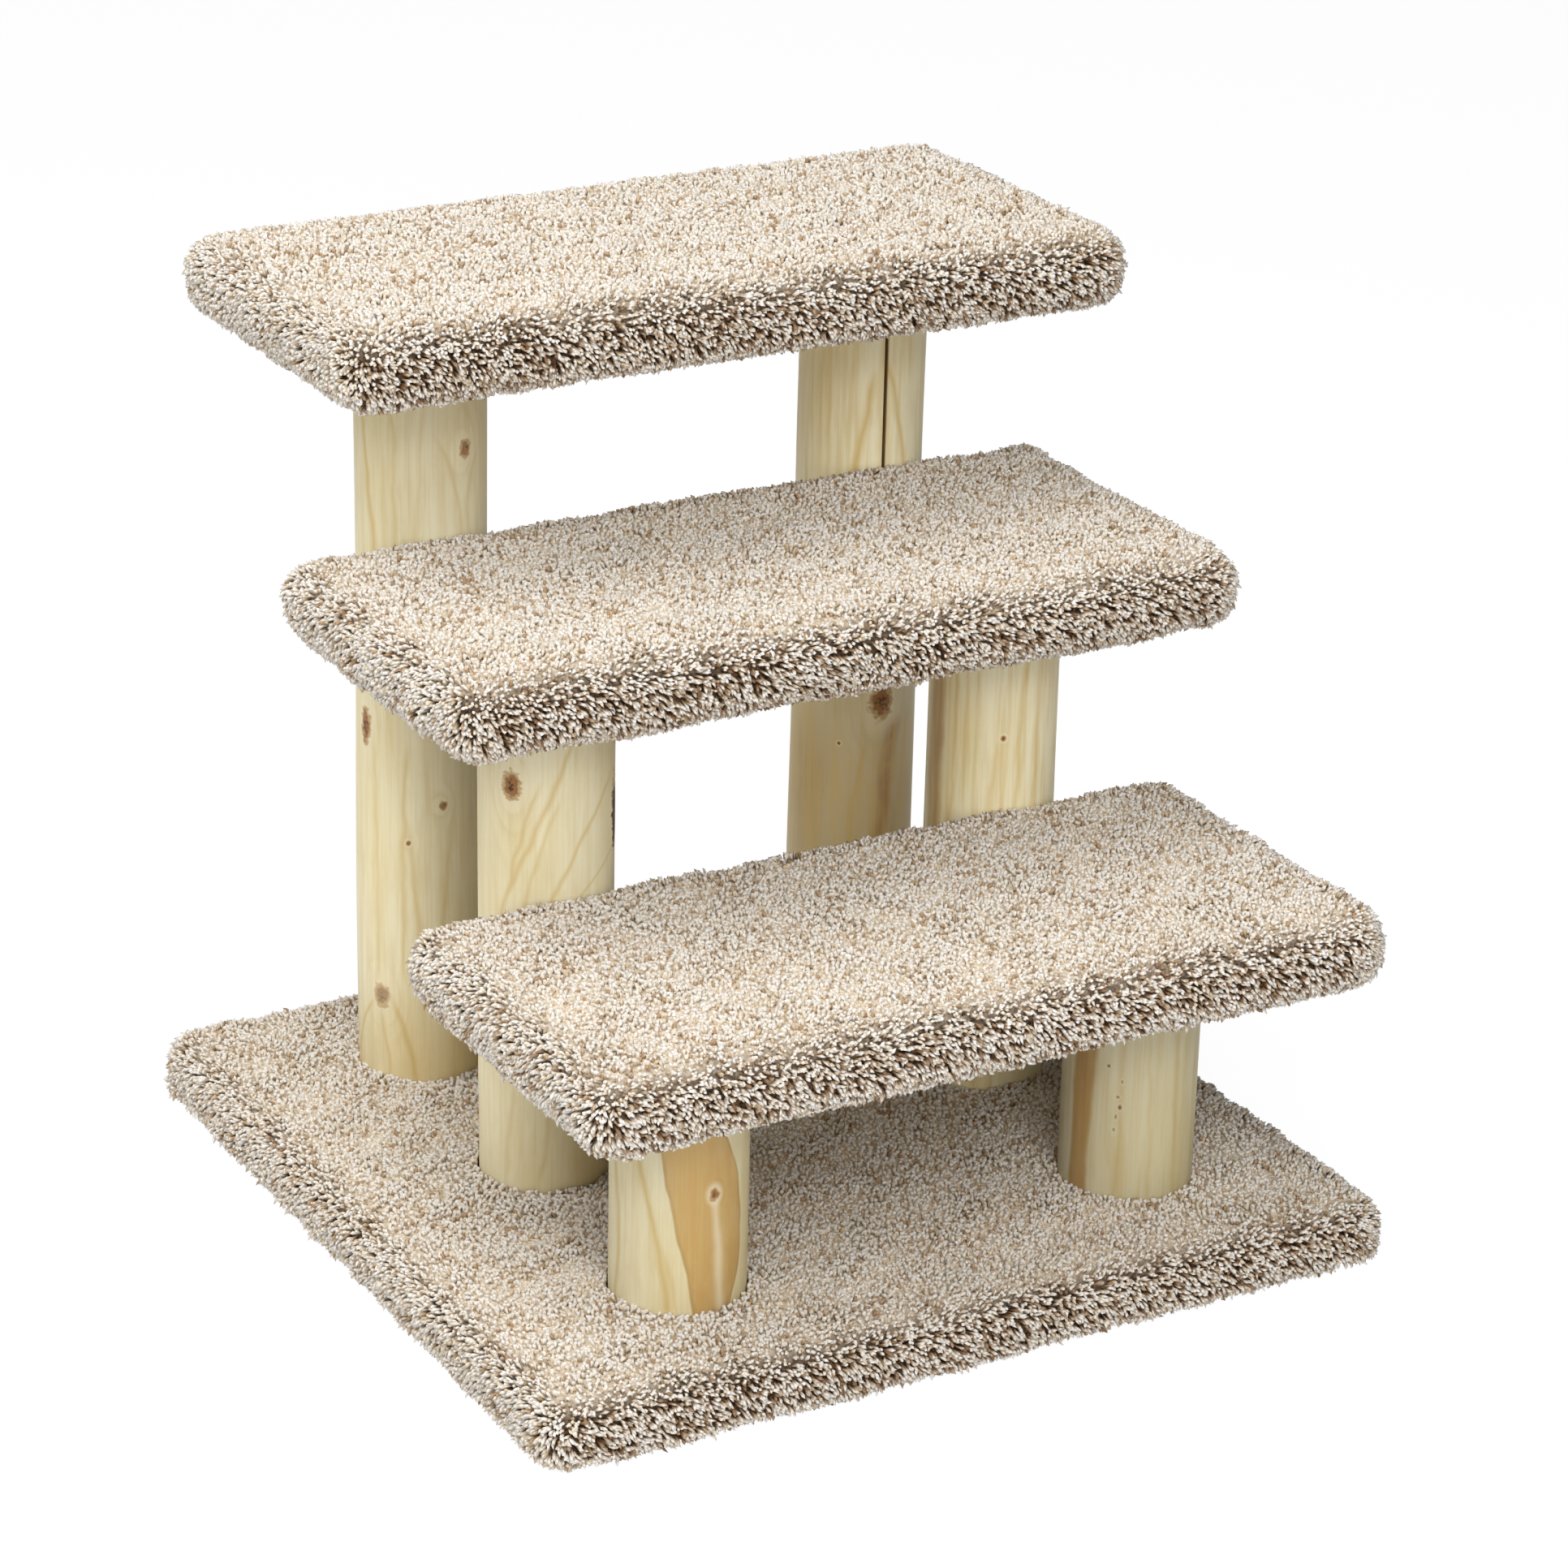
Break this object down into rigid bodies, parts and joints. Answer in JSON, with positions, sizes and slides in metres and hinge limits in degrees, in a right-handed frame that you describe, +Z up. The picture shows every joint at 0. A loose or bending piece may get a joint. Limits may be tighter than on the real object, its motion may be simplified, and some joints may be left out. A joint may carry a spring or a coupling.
{
  "type": "pet stairs",
  "caption": "Carpeted pet stairs: wide treads rise towards the back on round timber posts that stand on a carpeted base.",
  "frame": {"origin": "on the floor under the middle of the base", "axes": "+Z up, +X to the right of someone who faces the stairs, -Y towards the side a pet climbs from"},
  "size_m": [0.61, 0.5996, 0.604],
  "materials": {
    "carpet": "cut pile, beige with brown flecks",
    "timber": "peeled softwood, sanded smooth",
    "board": "sawn softwood",
    "screw": "yellow zinc plated",
    "staple": "galvanised wire"
  },
  "bodies": {
    "root": {"base_board": "board", "base_carpet": "carpet", "base_hem_staples": "staple", "front_left_post": "timber", "front_right_post": "timber", "front_post_foot_screws": "screw", "middle_left_post": "timber", "middle_right_post": "timber", "middle_post_foot_screws": "screw", "rear_left_post": "timber", "rear_right_post": "timber", "rear_post_foot_screws": "screw", "lower_step_board": "board", "lower_step_carpet": "carpet", "lower_hem_staples": "staple", "lower_step_screws": "screw", "middle_step_board": "board", "middle_step_carpet": "carpet", "middle_hem_staples": "staple", "middle_step_screws": "screw", "top_step_board": "board", "top_step_carpet": "carpet", "top_hem_staples": "staple", "top_step_screws": "screw"}
  },
  "joints": []
}
